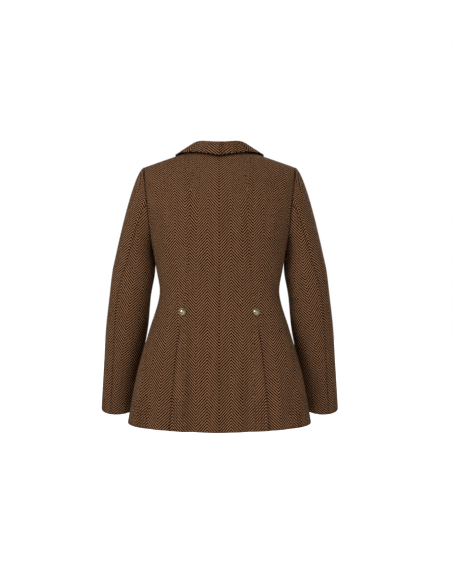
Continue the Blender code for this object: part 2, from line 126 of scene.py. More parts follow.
STAND_PART = 3 / 12         # shares of the collar's grid: the stand, then the fold
FOLD_PART = 7 / 12
FALL_SHOULDER_X = 0.110     # where the collar's edge crosses the shoulder line
FALL_GAP = 0.0035
FALL_BACK_Z = -0.009        # height of its edge at the middle of the back
FALL_RISE = 0.012           # and how far it waves up from there
FALL_WAVE = 0.62
FALL_SWELL = 0.5            # how far the fall bows out, as a share of its fold
FALL_FLAT = 0.9             # share of that which is lost at the shoulder
LIE_DOWN = 0.5              # share of the turned cloth in which it comes to lie on the front
COLLAR_TIP = (0.121, -0.049)        # x and z
COLLAR_BACK = 0.5           # share of half the collar that lies behind the shoulder
NOTCH_SHARE = 0.66          # share of the collar's end that is sewn to the lapel
GORGE_GAP = 0.0006
GORGE_CURVE = 3

# Sleeves
Ring = namedtuple("Ring", "height inner outer forward half_depth tilt turn")
SLEEVE = (
    Ring(-0.650, 0.2240, 0.3110, -0.092, 0.045, 16.0, 20.0),
    Ring(-0.530, 0.2025, 0.3000, -0.056, 0.049, 14.0, 26.0),
    Ring(-0.436, 0.1840, 0.2920, -0.034, 0.053, 9.0, 31.0),
    Ring(-0.355, 0.1755, 0.2815, -0.020, 0.056, 5.0, 32.0),
    Ring(-0.290, 0.1645, 0.2735, -0.018, 0.060, 2.0, 22.0),
    Ring(-0.252, 0.1674, 0.2650, -0.016, 0.062, 0.0, 12.0),
)
CAP_PUSH = 0.30             # how firmly the sleeve leaves the armhole outwards
CAP_SHARE = 1 / 3           # share of the sleeve's grid in its head
CAP_CURVE = 1.4
HIND_SEAM = 5               # armhole points at which the sleeve's seams begin
FRONT_SEAM = 16

# Rows of the solids' grids, which the cut's formulas count in
LOW_ROWS = 14
HIGH_ROWS = 10
ROWS = LOW_ROWS + HIGH_ROWS
ARMHOLE_POINTS = 2 * HIGH_ROWS

# Fine grid
STEP_ACROSS = 0.0045
STEP_ALONG = 0.0055
EDGE_STEPS = (0.0, 0.0013, 0.0026, 0.0045)          # grid lines beside every edge
EDGE_ROUND = 0.0006
STEP = 1.0e-4
FINE = 1.0e-6

# Edges of the cut: how far the cloth turns in there, and how dark the painted shade beside it is; along
# seams it is partly the seam's own darker line
Edge = namedtuple("Edge", "dip dark")
SEWN = Edge(0.0010, 0.50)
CENTRE_SEAM = Edge(0.0005, 0.20)
PRESSED = Edge(0.0004, 0.15)
ARM_SEAM = Edge(0.0004, 0.55)
FREE = Edge(0.0004, 0.10)
HIDDEN = Edge(0.0, 0.0)
SET_IN = Edge(0.0, 0.50)
TUCK = 0.003                # how far a sleeve reaches into its armhole
TUCK_DIVE = 0.0012
SEAM_ROLL = 0.0020
SEAM_LINE_AND_SHADE_WIDTH = 0.0016          # half width of the painted shade beside each edge
CREASE_FADE = 0.008         # creases fade out this close to a seam, but not to the centre-back one
COLLAR_DARK = 0.85
COLLAR_SHADE = 0.0035       # how far the collar's shade reaches below its edge
VENT_SHADOW_DARK = 0.78
VENT_SHADOW_WIDTH = 0.0024          # half width of the painted shadow along the vent's edge
# painted shade along the armhole seam
ARMHOLE_DARK = 0.80
ARMHOLE_SHADE_WIDTH = 0.0020       # half width of the painted shade on each side of the armhole seam
ARMPIT_DARK = 0.85
ARMPIT_SHADE = 0.0035       # how far the armpit's shade reaches from the armhole seam
ARMPIT_TOP = -0.110         # height where it begins

# Weave: a two and two twill that turns back at each stripe
PICK = 0.00183              # distance between weft threads
END = 0.00166               # and between warp threads
STRIPE_ENDS = 17            # warp threads in a stripe
TWILL = 4.0                 # threads in one repeat of the twill
WARP_OVER = 1.5             # the warp lies over the first two of them
WANDER_SCALE = 140.0
WANDER = 0.6                # how far a thread strays, in threads
WARP_SIDES = (0.5, 0.5)     # heights, as a least value and what is added to it at most
FLOAT_ENDS = (0.05, 0.95)
WEFT_HEIGHT = 0.7

# Names of the data that the materials read
WEAVE_MAP = "weave"
# the seam attribute holds painted shade beside edges, under the collar, along the vents and round the
# armholes, with the seams' own darker lines
SEAM_AND_SHADE_NAME = "seam"
# share of a button that lies clear of the painted shade at its rim
RIM_UNSHADED_NAME = "rim_unshaded"


def lerp(first, last, share):
    return first + (last - first) * share


def smooth(share):
    share = np.clip(share, 0.0, 1.0)
    return share * share * (3 - 2 * share)


def unit(vectors):
    return vectors / np.linalg.norm(vectors, axis=-1, keepdims=True)


def signed_power(values, power):
    return np.sign(values) * np.abs(values) ** power


def points(x, y, z):
    return np.stack(np.broadcast_arrays(x, y, z), axis=-1).astype(float)


def times(vectors, values):
    return vectors * np.asarray(values)[..., None]


def choose(where, first, second):
    return np.where(where[..., None], first, second)


def bell(distance, width):
    return np.exp(-(distance / width) ** 2)


def curve(start, leave, end, arrive, share, span=1.0):
    """Smooth curve over a span between two ends, with the slopes at which it leaves and arrives."""
    rest = 1 - share
    return (times(start, rest * rest * (1 + 2 * share)) + times(leave, span * share * rest * rest)
            + times(end, share * share * (3 - 2 * share)) - times(arrive, span * share * share * rest))


def along(table, heights):
    """Columns of a table at given heights, on smooth curves through its rows."""
    rows = np.array(table)
    knots = rows[:, 0]
    last = len(rows) - 1
    number = np.arange(len(rows))
    after, before = np.minimum(number + 1, last), np.maximum(number - 1, 0)
    slopes = (rows[after] - rows[before]) / (knots[after] - knots[before])[:, None]
    index = np.clip(np.searchsorted(knots, heights, side="left") - 1, 0, last - 1)
    span = knots[index + 1] - knots[index]
    share = np.clip((heights - knots[index]) / span, 0.0, 1.0)
    values = curve(rows[index], slopes[index], rows[index + 1], slopes[index + 1], share, span)
    return type(table[0])(*np.moveaxis(values, -1, 0))


def ridge(x):
    """Height of the shoulder line, rounded across the neck."""
    neck_x, neck_z = NECK_POINT
    reach = np.where(np.abs(x) > neck_x, np.abs(x), (x * x / neck_x + neck_x) / 2)
    return neck_z - math.tan(SHOULDER_SLOPE) * (reach - neck_x)


def section_at(z, face):
    """Half width, depth and squareness of the body's section at a height."""
    section = along(BODY, z)
    if face > 0:
        return section.half_width, section.back, section.back_square
    return section.half_width, section.front, FRONT_SQUARE


def torso(x, z, face):
    """Body surface; face is 1 behind the shoulder line and -1 in front."""
    half_width, depth, power = section_at(z, face)
    across = np.maximum(1 - np.abs(x / half_width) ** power, 0.0) ** (1 / power)
    rest = 1 - np.clip((ridge(x) - z) / SHOULDER_ROUND, 0.0, 1.0)
    return points(x, face * depth * across * np.sqrt(1 - rest * rest), z)


def torso_normal(x, z, face):
    """Outward normal of the body, from a step along the shoulder line and one down."""
    before, after = x - FINE, x + FINE
    slope = ridge(after) - ridge(before)
    across = torso(after, z + slope / 2, face) - torso(before, z - slope / 2, face)
    upward = torso(x, z, face) - torso(x, z - FINE, face)
    return unit(np.cross(upward, across)) * face


def on_body(x, z, face, lift=0.0):
    """Points and normals of cloth on the body's form, raised by lift."""
    normal = torso_normal(x, z, face)
    return torso(x, z, face) + times(normal, lift + np.zeros_like(x)), normal


def low_share(row):
    return np.minimum(row / LOW_ROWS, 1.0)


def high_share(row):
    return np.maximum((row - LOW_ROWS) / HIGH_ROWS, 0.0)


def hem_height(x):
    return lerp(HEM_SIDE, HEM_BACK, 1 - (x / BODY[0].half_width) ** 2)


def rising(row, hem, top):
    """Height of a row on an edge that ends in the shoulder ridge."""
    height = lerp(hem, UNDERARM, low_share(row))
    return height + (top - UNDERARM) * np.sin(math.pi / 2 * high_share(row))


def centre_back_edge(row):
    z = lerp(HEM_BACK, UNDERARM, low_share(row)) - UNDERARM * high_share(row)
    return np.zeros_like(z), z


def back_seam_edge(row):
    z = rising(row, hem_height(BACK_SEAM[0].half_width), NECK_POINT[1])
    return along(BACK_SEAM, z).half_width, z


def armhole_climb(z):
    """Share of the way up the armhole, from the underarm to the shoulder tip."""
    return (z - UNDERARM) / (ridge(SHOULDER_TIP_X) - UNDERARM)


def armhole_edge(row, face):
    share = high_share(row)
    low_z = lerp(HEM_SIDE, UNDERARM, low_share(row))
    high_z = lerp(UNDERARM, ridge(SHOULDER_TIP_X), (1 - np.cos(math.pi * share)) / 2)
    climb = armhole_climb(high_z)
    under_x = along(BODY, np.array(UNDERARM)).half_width
    high_x = lerp(under_x, SHOULDER_TIP_X, climb ** ARMHOLE_CURVE)
    if face < 0:
        high_x = high_x - FRONT_HOLLOW * np.sin(math.pi * climb)
    low = share == 0
    return np.where(low, along(BODY, low_z).half_width, high_x), np.where(low, low_z, high_z)


def roll_line(z):
    """X of the front edge: straight, then along the lapel's roll; swung back at the hem."""
    rolled = lerp(-OVERLAP, NECK_POINT[0], (z - ROLL_START) / (NECK_POINT[1] - ROLL_START))
    swing = np.maximum(CUTAWAY_START - z, 0.0) / (CUTAWAY_START - HEM_SIDE)
    return np.where(z > ROLL_START, rolled, -OVERLAP + CUTAWAY * swing ** 2)


def front_edge(row):
    z = rising(row, HEM_SIDE, NECK_POINT[1])
    return roll_line(z), z


def turn_of(x, z, face):
    """Angle round the body section at which x lies, from the middle to the side."""
    half_width, _, power = section_at(z, face)
    return np.arcsin(signed_power(np.clip(x / half_width, -1.0, 1.0), power / 2))


def panel_plan(inner, outer, face, u, row, bow=1.0):
    """X and z of a panel's points between its two edges."""
    z = lerp(inner[1], outer[1], u ** bow)
    turn = lerp(turn_of(*inner, face), turn_of(*outer, face), u)
    half_width, _, power = section_at(z, face)
    bowed = half_width * signed_power(np.sin(turn), 2 / power)
    return lerp(bowed, lerp(inner[0], outer[0], u), smooth(high_share(row))), z


def vent_shares(z):
    """How far the vent's edge has lifted, and how far it has lapped over, at a height."""
    below = WAIST_BUTTON_Z - z
    lap = np.maximum(below - VENT_START, 0.0) / (WAIST_BUTTON_Z - VENT_START - HEM_BACK)
    return smooth(below / VENT_START), lap


def middle_back(u, v):
    row = v * ROWS
    seam_x, seam_z = back_seam_edge(row)
    lifted, lap = vent_shares(seam_z)
    outer = (seam_x + VENT_LAP * lap, seam_z)
    x, z = panel_plan(centre_back_edge(row), outer, 1, u, row, 1 + high_share(row))
    edge = np.maximum(1 - (1 - u) / VENT_RISE, 0.0)
    return on_body(x, z, 1, lifted * lerp(WALL + LAID, VENT_LIFT, lap) * edge)


def side_back(u, v):
    row = v * ROWS
    x, z = panel_plan(back_seam_edge(row), armhole_edge(row, 1), 1, u, row)
    return on_body(x, z, 1)


def front(u, v, sunk):
    """A front panel; sunk is 1 for the left front, which passes under the right one."""
    row = v * ROWS
    x, z = panel_plan(front_edge(row), armhole_edge(row, -1), -1, u, row)
    under = smooth((OVERLAP + UNDER_FADE - x) / UNDER_FADE) * smooth((UNDER_TOP - z) / UNDER_FADE)
    return on_body(x, z, -1, -sunk * under * (WALL + LAID))


left_front = partial(front, sunk=1.0)
right_front = partial(front, sunk=0.0)


def armhole_points(k):
    """The armhole, from the underarm up the back, over the shoulder and down the front."""
    behind = torso(*armhole_edge(LOW_ROWS + np.minimum(k, HIGH_ROWS), 1), 1)
    before = torso(*armhole_edge(LOW_ROWS + np.minimum(ARMHOLE_POINTS - k, HIGH_ROWS), -1), -1)
    return choose(k <= HIGH_ROWS, behind, before)


def arm_ring(k, height):
    ring = along(SLEEVE, height)
    angle = math.pi * (1 - k / HIGH_ROWS)
    angle = np.where(angle > 0, angle - np.radians(ring.turn) * np.sin(angle), angle)
    depth = ring.half_depth * np.sin(angle)
    reach = (ring.outer - ring.inner) / 2 * np.cos(angle)
    return points((ring.inner + ring.outer) / 2 + reach, ring.forward + depth,
                  height - depth * np.tan(np.radians(ring.tilt)))


def sleeve(k, v):
    top, cuff = SLEEVE[-1].height, SLEEVE[0].height
    arm = arm_ring(k, lerp(top, cuff, np.maximum(v - CAP_SHARE, 0.0) / (1 - CAP_SHARE)))
    start, end = armhole_points(k), arm_ring(k, np.full_like(k, top))
    reach = np.linalg.norm(end - start, axis=-1)
    slope = -math.tan(SHOULDER_SLOPE) * armhole_climb(start[..., 2])
    leave = times(unit(points(1.0, 0.0, slope)), reach * CAP_PUSH)
    arrive = times(unit(arm_ring(k, np.full_like(k, top - STEP)) - end), reach)
    cap = curve(start, leave, end, arrive, np.minimum(v / CAP_SHARE, 1.0) ** CAP_CURVE)
    return choose(v > CAP_SHARE, arm, cap)


def upper_sleeve(u, v):
    return measured(sleeve(lerp(HIND_SEAM, FRONT_SEAM, u), v), u, v)


def under_sleeve(u, v):
    k = lerp(FRONT_SEAM - ARMHOLE_POINTS, HIND_SEAM, u)
    return measured(sleeve(k % ARMHOLE_POINTS, v), u, v)


def measured(place, u, v):
    """Points of a grid with their normals, from the grid's own lines."""
    wide = np.gradient(place, u[0], axis=1)
    long = np.gradient(place, v[:, 0], axis=0)
    return place, unit(np.cross(wide, long))


def roll_frame(row, panel):
    """Edge points of a front at given rows, their normals, and the way across the edge."""
    v = row / ROWS
    edge = np.zeros_like(v)
    place, normal = panel(edge, v)
    upward = unit(panel(edge, np.minimum(v + STEP, 1.0))[0] - panel(edge, v - STEP)[0])
    return place, normal, unit(np.cross(normal, upward))


def fold(start, inward, normal, share):
    """Half turn of the cloth, from lying under its edge to lying over it."""
    angle = math.pi * share
    return (start + times(normal, FOLD_RADIUS * (1 - np.cos(angle)))
            + times(inward, FOLD_RADIUS * np.sin(angle)))


def row_at(z):
    """Row of the front edge that lies at a height."""
    low = LOW_ROWS * (z - HEM_SIDE) / (UNDERARM - HEM_SIDE)
    climb = np.clip((z - UNDERARM) / (NECK_POINT[1] - UNDERARM), 0.0, 1.0)
    return np.where(z <= UNDERARM, low, LOW_ROWS + HIGH_ROWS * 2 / math.pi * np.arcsin(climb))


def lapel_edge(share):
    """X and z of the lapel's free edge, from the roll start to its tip."""
    start = np.array((-OVERLAP, ROLL_START))
    way = np.array(LAPEL_TIP) - start
    outward = np.array((way[1], -way[0])) / np.hypot(*way)
    belly = LAPEL_BELLY * np.sin(math.pi * share)
    return [start[axis] + way[axis] * share + outward[axis] * belly for axis in (0, 1)]


def lapel(u, v, panel, lower):
    """Middle of the cloth of a front's turned-back edge."""
    gorge_z = front_edge(np.array(float(LOW_ROWS + GORGE_ROW)))[1]
    z = lerp(ROLL_START + lower[0], gorge_z, v)
    edge_share = lerp(lower[1] / (LAPEL_TIP[1] - ROLL_START), 1.0, v)
    place, normal, inward = roll_frame(row_at(z), panel)
    start = place - normal * WALL / 2
    turning = fold(start, inward, normal, np.minimum(u / LAPEL_TURN, 1.0))
    share = np.maximum(u - LAPEL_TURN, 0.0) / (1 - LAPEL_TURN)
    edge_x, edge_z = lapel_edge(edge_share)
    x, z = lerp(place[..., 0], edge_x, share), lerp(place[..., 2], edge_z, share)
    height = lerp(2 * FOLD_RADIUS - WALL / 2, LAID + WALL / 2, 1 - (1 - share) ** 2)
    lying = on_body(x, z, -1, height)[0]
    turned_over = fold(start, inward, normal, np.ones_like(u)) + torso(x, z, -1) - place
    settled = turned_over + times(lying - turned_over, smooth(share / LIE_DOWN))
    return measured(choose(u <= LAPEL_TURN, turning, settled), u, v)


left_lapel = partial(lapel, panel=left_front, lower=LAPEL_LEFT_START)
right_lapel = partial(lapel, panel=right_front, lower=LAPEL_RIGHT_START)


def collar_base(c):
    """Neck edge at c, the stand's direction and height there, and how far round c is.

    c runs from 0 at the middle of the back to 1 at the gorge, u to the shoulder and w from it.
    """
    u = np.minimum(c / COLLAR_BACK, 1.0)
    behind = middle_back(u, np.ones_like(u))[0]
    around = math.pi / 2 * u
    lean = lerp(STAND_LEAN_BACK, STAND_LEAN_SIDE, u)
    up = points(-np.sin(around) * lean, -np.cos(around) * lean, np.sqrt(1 - lean * lean))
    stand_top = STAND_LEVEL + STAND_RISE * u * u - STAND_CORNER * u ** STAND_CORNER_CURVE
    stand = (stand_top - behind[..., 2]) / up[..., 2]
    w = np.maximum(c - COLLAR_BACK, 0.0) / (1 - COLLAR_BACK)
    ahead, _, inward = roll_frame(lerp(ROWS, LOW_ROWS + GORGE_ROW, w), right_front)
    side_up = np.array((-STAND_LEAN_SIDE, 0.0, math.sqrt(1 - STAND_LEAN_SIDE ** 2)))
    ahead_up = unit(side_up + times(inward - side_up, smooth(w)))
    ahead_stand = lerp(STAND_END, STAND_SIDE, (1 - w) ** STAND_CURVE)
    back = c <= COLLAR_BACK
    stand = np.where(back, stand, ahead_stand)
    return choose(back, behind, ahead), choose(back, up, ahead_up), stand, u, w


def fall_edge(u, w):
    """X and z of the collar's free edge on the body, behind and before the shoulder."""
    back_x = FALL_SHOULDER_X * u
    back_z = FALL_BACK_Z + FALL_RISE * np.sin(FALL_WAVE * math.pi * u)
    side_x = lerp(FALL_SHOULDER_X, COLLAR_TIP[0], w)
    side_z = lerp(ridge(FALL_SHOULDER_X), COLLAR_TIP[1], w)
    x, z = np.where(w > 0, side_x, back_x), np.where(w > 0, side_z, back_z)
    return x, np.minimum(z, ridge(x) - STEP)


def gorge_line(x, start_x, start_z):
    """Height of the collar's end above the lapel's upper edge."""
    slope = (LAPEL_TIP[1] - start_z) / (LAPEL_TIP[0] - start_x)
    sewn_x = lerp(start_x, COLLAR_TIP[0], NOTCH_SHARE)
    sewn_z = start_z + slope * (np.minimum(x, sewn_x) - start_x) + GORGE_GAP
    notch = np.clip((x - sewn_x) / (COLLAR_TIP[0] - sewn_x), 0.0, None)
    return np.where(x <= sewn_x, sewn_z, lerp(sewn_z, COLLAR_TIP[1], notch))


def collar_half(u, c):
    """Collar from its neck seam up the stand, over the fold and down the fall."""
    place, up, stand, back_u, w = collar_base(c)
    ahead = collar_base(np.minimum(c + STEP, 1.0))[0]
    behind = collar_base(np.maximum(c - STEP, 0.0))[0]
    outward = unit(np.cross(up, unit(ahead - behind)))
    start = place - outward * WALL / 2
    standing = start + times(up, stand * np.minimum(u / STAND_PART, 1.0))
    top = start + times(up, stand)
    turning = fold(top, up, outward, np.clip((u - STAND_PART) / (FOLD_PART - STAND_PART), 0.0, 1.0))
    share = np.maximum(u - FOLD_PART, 0.0) / (1 - FOLD_PART)
    turned = fold(top, up, outward, np.ones_like(u))
    x, z = fall_edge(back_u, w)
    lift = np.full_like(x, FALL_GAP + WALL / 2)
    rest = choose(w > 0, on_body(x, z, -1, lift)[0], on_body(x, z, 1, lift)[0])
    swell = FALL_SWELL * (1 - FALL_FLAT * smooth(back_u - w)) * np.sin(math.pi * share)
    hanging = turned + times(rest - turned, share) + times(turned - top, swell)
    flat_x = lerp(place[..., 0], x, share)
    flat_z = lerp(place[..., 2], z, share)
    flat_z = lerp(flat_z, gorge_line(flat_x, place[..., 0], place[..., 2]), w ** GORGE_CURVE)
    flat_z = np.minimum(flat_z, ridge(flat_x) - STEP)
    height = lerp(2 * FOLD_RADIUS - WALL / 2, FALL_GAP + WALL / 2, 1 - (1 - share) ** 2)
    lying = on_body(flat_x, flat_z, -1, height)[0]
    laid = np.where(w > 0, smooth(w) * smooth(share / LIE_DOWN), 0.0)
    falling = hanging + times(lying - hanging, laid)
    return choose(u <= STAND_PART, standing, choose(u <= FOLD_PART, turning, falling))


def collar(u, v):
    place = collar_half(u, np.abs(2 * v - 1))
    place[..., 0] *= np.where(v >= 0.5, 1.0, -1.0)
    return measured(place, u, v)


def stops(width, step):
    """Places along one side of a panel, close together near its two ends."""
    ends = np.array(EDGE_STEPS) / width
    count = max(round((width - 2 * EDGE_STEPS[-1]) / step), 2)
    middle = np.linspace(ends[-1], 1 - ends[-1], count + 1)
    return np.concatenate((ends[:-1], middle, 1 - ends[-2::-1]))


def arc(place, axis):
    """Length along the lines of a grid from their first point."""
    steps = np.linalg.norm(np.diff(place, axis=axis), axis=-1)
    start = np.zeros_like(np.take(steps, [0], axis=axis))
    return np.concatenate((start, np.cumsum(steps, axis=axis)), axis=axis)


# A crease is a soft trough or ridge: its middle on the cloth, its lean from the cloth's length in
# degrees, how far it reaches, its half width, its height (troughs are below 0) and how much it bends
Crease = namedtuple("Crease", "across along lean length width height bend")


def creased(across, along_cloth, creases):
    relief = np.zeros_like(across)
    for crease in creases:
        lean = math.radians(crease.lean)
        right, up = across - crease.across, along_cloth - crease.along
        reach = (right * math.sin(lean) + up * math.cos(lean)) / (crease.length / 2)
        aside = right * math.cos(lean) - up * math.sin(lean) - crease.bend * reach ** 2
        window = np.maximum(1 - reach ** 2, 0.0) ** 2
        relief += crease.height * bell(aside, crease.width) * window
    return relief


# How the weave lies on each panel: lengths across and along its stripes
STRIPE = END * STRIPE_ENDS
JOIN = 3 * STRIPE           # the middle back repeats its third stripe from here
SideGrain = namedtuple("SideGrain", "along inset")
SIDE_GRAIN = (              # how far the side back's first stripe line lies from its back seam
    SideGrain(0.000, 0.008),
    SideGrain(0.120, 0.004),
    SideGrain(0.240, 0.003),
    SideGrain(0.300, 0.013),
    SideGrain(0.345, 0.021),
    SideGrain(0.440, 0.035),
    SideGrain(0.520, 0.040),
    SideGrain(0.720, 0.040),
)
FIT_GOAL = 1.0e-12          # share of the misfit's square that may be left in the weave's fit
UPRIGHT = np.array((0.0, 0.0, 1.0))
BACKWARD = np.array((0.0, 1.0, 0.0))
GrainLean = namedtuple("GrainLean", "height degrees")
UNDER_ARM_GRAIN = (         # how far the grain of the under sleeve leans in
    GrainLean(-0.680, 10.0),
    GrainLean(-0.360, 10.5),
    GrainLean(-0.310, 9.5),
    GrainLean(-0.280, 7.0),
    GrainLean(-0.240, 4.0),
    GrainLean(-0.200, 1.0),
    GrainLean(0.000, 1.0),
)
UPPER_ARM_SHIFT = 0.0207    # where the stripes lie at the cuff, from the hind-arm seam
UNDER_ARM_SHIFT = 0.0520
ARM_SEAM_TOP = -0.170       # up to here the grain of the top sleeve follows the hind-arm seam's turns


def follow(place, normal, way):
    """Lengths across and along the weave, whose grain keeps as near as it can to a given way."""
    upward = unit(way - times(normal, (way * normal).sum(axis=-1)))
    return fitted(place, np.cross(upward, normal)), fitted(place, upward)


def fitted(place, direction):
    """How far the cloth goes along a direction, from the grid's first point.

    The lengths of its steps fit together with the least misfit, found by conjugate gradients.
    """
    steps = [np.diff(place, axis=axis) for axis in (0, 1)]
    sizes = [np.linalg.norm(step, axis=-1) + FINE for step in steps]
    beside = (edge_mean(sizes[1], 0), edge_mean(sizes[0], 1))
    weights = [other / size for other, size in zip(beside, sizes)]
    wanted = [(step * halfway(direction, axis)).sum(axis=-1) for axis, step in enumerate(steps)]
    lengths = np.zeros(place.shape[:2])
    rest = gathered([weight * step for weight, step in zip(weights, wanted)], lengths.shape)
    search, size = rest, (rest * rest).sum()
    goal = size * FIT_GOAL
    while size > goal:
        flows = [weight * np.diff(search, axis=axis) for axis, weight in enumerate(weights)]
        pull = gathered(flows, lengths.shape)
        move = size / (search * pull).sum()
        lengths = lengths + move * search
        rest = rest - move * pull
        before, size = size, (rest * rest).sum()
        search = rest + size / before * search
    return lengths - lengths[0, 0]


def halfway(values, axis):
    return (np.delete(values, 0, axis) + np.delete(values, -1, axis)) / 2


def edge_mean(sizes, axis):
    """Mean size of the steps that leave the two ends of each step along an axis."""
    wide = np.concatenate((sizes, np.take(sizes, [-1], axis=1 - axis)), axis=1 - axis)
    return halfway(wide, axis)


def gathered(flows, shape):
    """What arrives at each grid point less what leaves it, along the two axes."""
    total = np.zeros(shape)
    total[1:] += flows[0]
    total[:-1] -= flows[0]
    total[:, 1:] += flows[1]
    total[:, :-1] -= flows[1]
    return total


def middle_back_grain(place, normal):
    across = arc(place, 1)
    return across + STRIPE * (across > JOIN), arc(place, 0)


def side_back_grain(place, normal):
    lengthwise = arc(place, 0)
    return arc(place, 1) + STRIPE - along(SIDE_GRAIN, lengthwise[:, :1]).inset, lengthwise


def front_grain(place, normal):
    way = UPRIGHT + times(BACKWARD, np.maximum(normal[..., 2], 0.0))
    across, upward = follow(place, normal, way)
    return across + place[0, 0, 0], upward


def arm_way(z):
    """Direction of the under sleeve's grain: along the arm, and leaning in."""
    arm = np.clip(z, SLEEVE[0].height, SLEEVE[-1].height - STEP)
    forward = (along(SLEEVE, arm + STEP).forward - along(SLEEVE, arm).forward) / STEP
    return unit(points(-np.tan(np.radians(along(UNDER_ARM_GRAIN, z).degrees)), forward, 1.0))


def upper_sleeve_grain(place, normal):
    seam = place[:, :1]
    way = unit(-np.gradient(seam, axis=0))
    top = int(np.argmax(seam[:, 0, 2] < ARM_SEAM_TOP))
    way[:top] = way[top]
    across, upward = follow(place, normal, way)
    return across - across[-1, 0] + UPPER_ARM_SHIFT, upward - upward[-1, 0]


def under_sleeve_grain(place, normal):
    across, upward = follow(place, normal, arm_way(place[..., 2]))
    return across - across[-1, -1] + UNDER_ARM_SHIFT, upward - upward[-1, -1]


def lapel_grain(place, normal):
    across = arc(place, 1)
    return across - across[:, -1:], arc(place, 0)


def collar_grain(place, normal):
    way = -np.gradient(place, axis=1)
    way[..., 0] *= smooth(np.abs(np.linspace(-1, 1, len(place))) / COLLAR_BACK)[:, None]
    across, upward = follow(place, normal, way)
    middle = len(place) // 2
    return across - across[middle, -1], upward - upward[middle, -1]


# Edges are named in the grid's order: u at 0, u at 1, v at 0, v at 1.
# A panel's width and length are rough ones, for its grid. Outside is the share of its wall that lies
# outside its surface, and hem is the v of its hem or cuff.
Edges = namedtuple("Edges", "first last start end")
Panel = namedtuple("Panel", "surface grain width length outside edges hem shades")


def sew(name, panel, side, creases, tweed):
    """One panel as a thin shell, with its weave, its pressed edges and its creases."""
    u, v = np.meshgrid(stops(panel.width, STEP_ACROSS), stops(panel.length, STEP_ALONG))
    place, normal = panel.surface(u, v)
    across, lengthwise = arc(place, 1), arc(place, 0)
    gaps = (across, across[:, -1:] - across, lengthwise, lengthwise[-1:] - lengthwise)
    weave = np.stack(panel.grain(place, normal), axis=-1)
    fade = smooth(gaps[1] / CREASE_FADE) * smooth(gaps[3 - panel.hem] / CREASE_FADE)
    if panel.edges.first != CENTRE_SEAM:
        fade = fade * smooth(gaps[0] / CREASE_FADE)
    relief = creased(across, gaps[2 + panel.hem], creases) * fade
    # Painted shade: darker lines beside the edges (along seams partly the seams' own darker line), and
    # each panel's shades
    dark = np.zeros_like(relief)
    for gap, edge in zip(gaps, panel.edges):
        relief -= edge.dip * bell(gap, SEAM_ROLL)
        dark = np.maximum(dark, edge.dark * bell(gap, SEAM_LINE_AND_SHADE_WIDTH))
    for shade in panel.shades:
        dark = np.maximum(dark, shade(place, gaps))
    outer = place + times(normal, relief + panel.outside * WALL)
    if panel.edges.start == SET_IN:
        outer[0] += tuck(place, normal)
    inner = outer - normal * WALL
    mirror = np.array((side, 1, 1))
    piece = shell(name, outer * mirror, inner * mirror, weave, dark, tweed)
    return piece, panel_cut(across, lengthwise)


def tuck(place, normal):
    """Moves a sleeve's edge on into the armhole, and under the body's cloth at the shoulder."""
    climb = armhole_climb(place[0, :, 2])
    return TUCK * unit(place[0] - place[1]) - times(normal[0], TUCK_DIVE * climb)


def under_collar(place, gaps):
    """Shade of the back beneath the collar's edge."""
    x = np.abs(place[..., 0])
    below = fall_edge(x / FALL_SHOULDER_X, np.zeros_like(x))[1] - place[..., 2]
    return COLLAR_DARK * bell(np.maximum(below, 0.0), COLLAR_SHADE) * (x < FALL_SHOULDER_X)


def vent_shadow(place, gaps):
    """Painted shadow along the vent's free edge, from its button down."""
    return VENT_SHADOW_DARK * vent_shares(place[..., 2])[0] * bell(gaps[1], VENT_SHADOW_WIDTH)


def armpit(place, gap):
    """Shade on both sides of the armhole seam, deepest under the arm."""
    depth = smooth((ARMPIT_TOP - place[..., 2]) / (ARMPIT_TOP - UNDERARM))
    shade = ARMPIT_DARK * depth * bell(gap, ARMPIT_SHADE)
    return np.maximum(shade, ARMHOLE_DARK * bell(gap, ARMHOLE_SHADE_WIDTH))


def body_armpit(place, gaps):
    return armpit(place, gaps[1]) * (place[..., 2] > UNDERARM)


def sleeve_armpit(place, gaps):
    return armpit(place, gaps[2])


def panel_cut(across, lengthwise):
    """Flat width, length and area of a panel's cut."""
    width, length = across[:, -1].max(), lengthwise[-1].max()
    rows = np.gradient(lengthwise.mean(axis=1))
    return width, length, float((across[:, -1] * rows).sum())


def shell(name, outer, inner, weave, dark, material):
    """A grid and its copy, joined at the rim and laid on a panel's two faces."""
    rows, columns = outer.shape[0] - 1, outer.shape[1] - 1
    cloth = bmesh.new()
    bmesh.ops.create_grid(cloth, x_segments=columns, y_segments=rows, size=0.5)
    made = bmesh.ops.extrude_face_region(cloth, geom=cloth.faces[:])["geom"]
    raised = [part for part in made if isinstance(part, bmesh.types.BMVert)]
    bmesh.ops.translate(cloth, verts=raised, vec=(0, 0, 1))
    weave_layer = cloth.loops.layers.uv.new(WEAVE_MAP)
    # painted shade beside edges and under the collar, vents and arms, with the seams' own darker lines
    seam_and_shade_layer = cloth.verts.layers.float.new(SEAM_AND_SHADE_NAME)
    cells = {}
    for vertex in cloth.verts:
        column = round((vertex.co.x + 0.5) * columns)
        row = round((vertex.co.y + 0.5) * rows)
        outside = vertex.co.z < 0.5
        cells[vertex] = (row, column, outside)
        vertex.co = (outer if outside else inner)[row, column]
        vertex[seam_and_shade_layer] = dark[row, column]
    for face in cloth.faces:
        for loop in face.loops:
            row, column, _ = cells[loop.vert]
            loop[weave_layer].uv = weave[row, column]
    rim = [edge for edge in cloth.edges
           if on_rim(*(cells[vertex] for vertex in edge.verts), rows, columns)]
    bmesh.ops.recalc_face_normals(cloth, faces=cloth.faces)
    if cloth.calc_volume(signed=True) < 0:
        bmesh.ops.reverse_faces(cloth, faces=cloth.faces)
    bmesh.ops.bevel(cloth, geom=rim, offset=EDGE_ROUND, segments=2, profile=0.5, affect="EDGES",
                    material=-1, clamp_overlap=True)
    return add(name, cloth, material)


